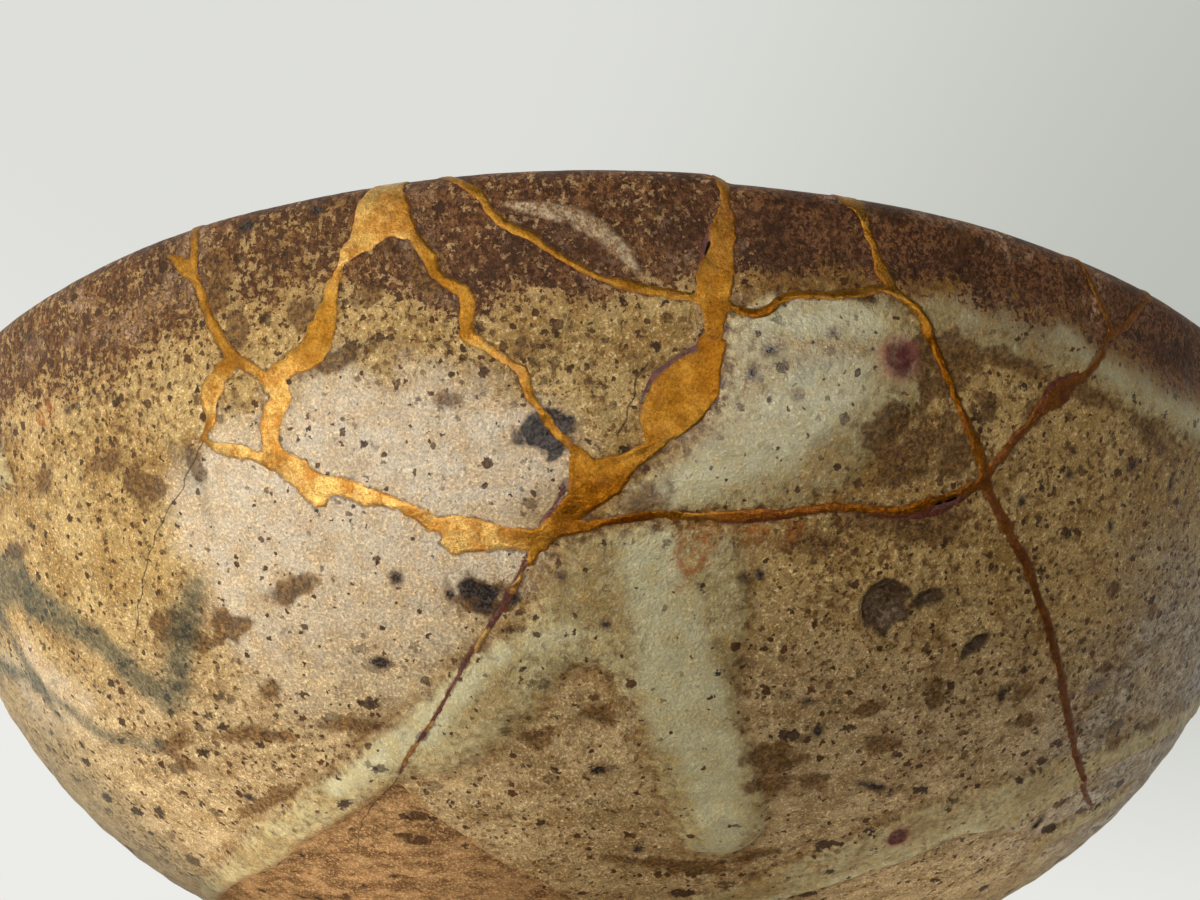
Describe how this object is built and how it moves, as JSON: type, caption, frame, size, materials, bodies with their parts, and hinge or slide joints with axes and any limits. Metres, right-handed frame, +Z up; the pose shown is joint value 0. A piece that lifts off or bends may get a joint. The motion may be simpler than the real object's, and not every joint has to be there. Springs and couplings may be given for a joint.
{
  "type": "kintsugi bowl",
  "caption": "Shallow wheel-thrown stoneware bowl on a foot ring, its broken wall joined again with raised gold lacquer seams.",
  "frame": {"origin": "centre of the foot ring's underside, on the surface the bowl stands on", "axes": "+Z up along the bowl's axis, -Y towards the repaired side"},
  "size_m": [0.1514, 0.1514, 0.0489],
  "materials": {
    "glazed_stoneware": "satin ash glaze, tan with iron specks, pale green-white runs and a dark brown rim; bare clay by the foot",
    "glazed_sherd": "satin ash glaze, as the bowl",
    "gold_lacquer": "gold powder burnished on lacquer, slightly lumpy satin"
  },
  "bodies": {
    "root": {"bowl_body": "glazed_stoneware", "sherd_left_rim": "glazed_sherd", "sherd_left_small": "glazed_sherd", "sherd_centre_left": "glazed_sherd", "sherd_centre": "glazed_sherd", "sherd_rim_centre": "glazed_sherd", "sherd_rim_right": "glazed_sherd", "sherd_right": "glazed_sherd", "sherd_rim_far_right": "glazed_sherd", "sherd_rim_small": "glazed_sherd", "gold_seams": "gold_lacquer"}
  },
  "joints": []
}
